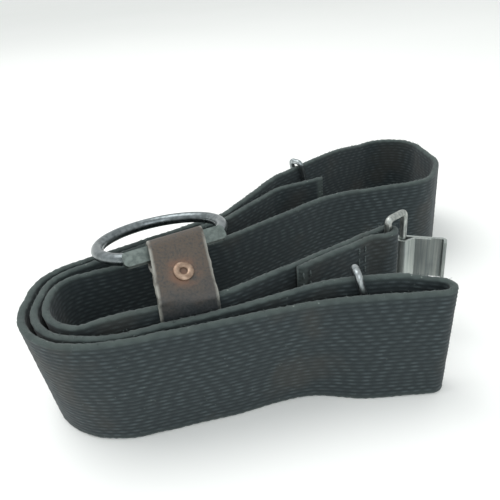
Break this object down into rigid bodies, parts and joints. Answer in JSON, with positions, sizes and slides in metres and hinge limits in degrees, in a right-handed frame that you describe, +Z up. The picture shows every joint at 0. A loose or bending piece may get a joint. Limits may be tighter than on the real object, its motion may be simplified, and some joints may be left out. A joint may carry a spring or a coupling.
{
  "type": "dive weight belt",
  "caption": "Folded webbing dive weight belt standing on its edge, with a pull ring on a riveted hanger, a sheet hook on a wire loop and wire keepers.",
  "frame": {"origin": "middle of the folded belt's base, on the surface that it stands on", "axes": "+X along the coil to the hook end, +Y from the front strand to the back one, +Z up along the webbing's width"},
  "size_m": [0.2092, 0.1978, 0.0718],
  "materials": {
    "webbing": "coarse ribbed heavy webbing, faded charcoal black, fuzzy and greyer along its edges",
    "thread": "waxed heavy thread, worn grey",
    "loop_steel": "dull satin",
    "hook_steel": "satin with upright brushing",
    "hanger_leather": "worn black leather, browned and rubbed at the top, rust stained round the rivet",
    "copper": "dull tarnished copper",
    "ring_steel": "dark aged steel, smooth",
    "keeper_wire": "smooth dull bright wire"
  },
  "bodies": {
    "strap": {"belt_webbing": "webbing", "fold_stitching": "thread"},
    "hanger": {"ring_hanger": "hanger_leather", "hanger_rivet": "copper", "rivet_burr": "copper"},
    "ring": {"ring_crossbar": "ring_steel", "pull_ring": "ring_steel"},
    "loop": {"buckle_loop": "loop_steel"},
    "hook": {"hook_plate": "hook_steel"},
    "front_keeper": {"keeper_front": "keeper_wire"},
    "back_keeper": {"keeper_back": "keeper_wire"}
  },
  "joints": [
    {"name": "hanger_slide", "type": "slide", "parent": "strap", "child": "hanger", "axis": [0.9729, 0.2313, 0], "range_m": [-0.013, 0]},
    {"name": "ring_swing", "type": "hinge", "parent": "hanger", "child": "ring", "pos_m": [-0.03987, -0.06031, 0.0665], "axis": [0.9035, 0.4285, 0], "range_deg": [0, 120]},
    {"name": "loop_swing", "type": "hinge", "parent": "strap", "child": "loop", "pos_m": [0.05124, -0.03668, 0.028], "axis": [0, 0, 1], "range_deg": [-60, 70]},
    {"name": "hook_swing", "type": "hinge", "parent": "loop", "child": "hook", "pos_m": [0.06038, -0.02954, 0.0345], "axis": [0, 0, 1], "range_deg": [-50, 100]},
    {"name": "front_keeper_slide", "type": "slide", "parent": "strap", "child": "front_keeper", "axis": [0.9998, 0.0179, 0], "range_m": [-0.006, 0.003]},
    {"name": "back_keeper_slide", "type": "slide", "parent": "strap", "child": "back_keeper", "axis": [0.7526, 0.6585, 0], "range_m": [-0.01, 0.018]}
  ]
}
